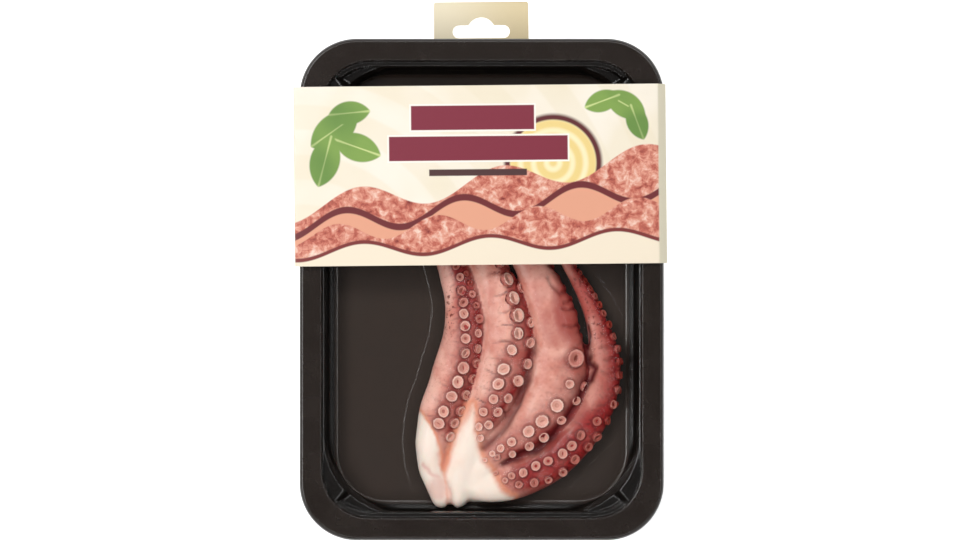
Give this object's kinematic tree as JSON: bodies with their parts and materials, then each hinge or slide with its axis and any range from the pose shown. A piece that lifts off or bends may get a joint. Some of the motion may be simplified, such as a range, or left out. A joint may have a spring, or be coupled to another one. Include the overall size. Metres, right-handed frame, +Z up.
{
  "type": "cooked octopus pack",
  "caption": "Cooked octopus arms skin-packed under clear film on a black food tray, with a printed card sleeve and a hang tab.",
  "frame": {"origin": "bottom centre of the pack's box, on the surface that the pack lies on", "axes": "+X across the pack, +Y along the pack towards the hang tab, +Z up out of the tray"},
  "size_m": [0.196, 0.2848, 0.029],
  "materials": {
    "tray": "thermoformed black sheet, satin with glossy creases",
    "octopus": "cooked octopus skin, pink to dark red, moist, with white flesh at the base; rubber stands in for flesh",
    "skin_film": "clear glossy skin film; glass stands in for clear plastic",
    "sleeve": "smooth coated card with a plain printed design"
  },
  "bodies": {
    "root": {"tray": "tray", "octopus": "octopus", "skin_film": "skin_film", "sleeve": "sleeve"}
  },
  "joints": []
}
